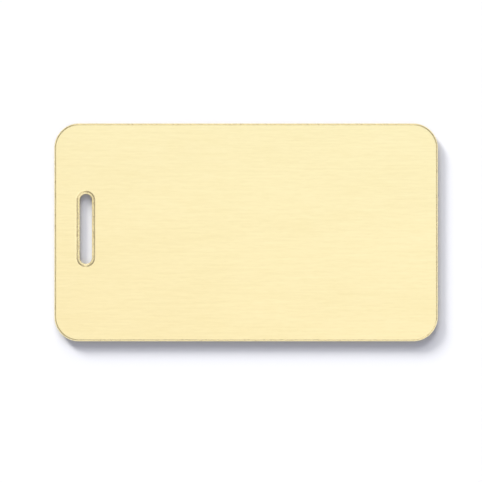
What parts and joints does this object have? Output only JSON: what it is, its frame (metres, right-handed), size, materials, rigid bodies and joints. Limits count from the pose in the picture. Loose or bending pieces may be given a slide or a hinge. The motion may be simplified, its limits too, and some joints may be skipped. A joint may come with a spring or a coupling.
{
  "type": "luggage tag",
  "caption": "Blank satin brass luggage tag: a flat plate with rounded corners, softly bevelled front edges and an oblong slot near one end for a strap.",
  "frame": {"origin": "middle of the plate's underside", "axes": "+X along the plate's long side, away from the strap slot, which is near the -X end; +Y along its short side, towards the edge that the slot's centre lies nearer to; +Z out of the front face"},
  "size_m": [0.0888, 0.0506, 0.0016],
  "materials": {
    "satin_brass": "satin"
  },
  "bodies": {
    "root": {"tag_plate": "satin_brass"}
  },
  "joints": []
}
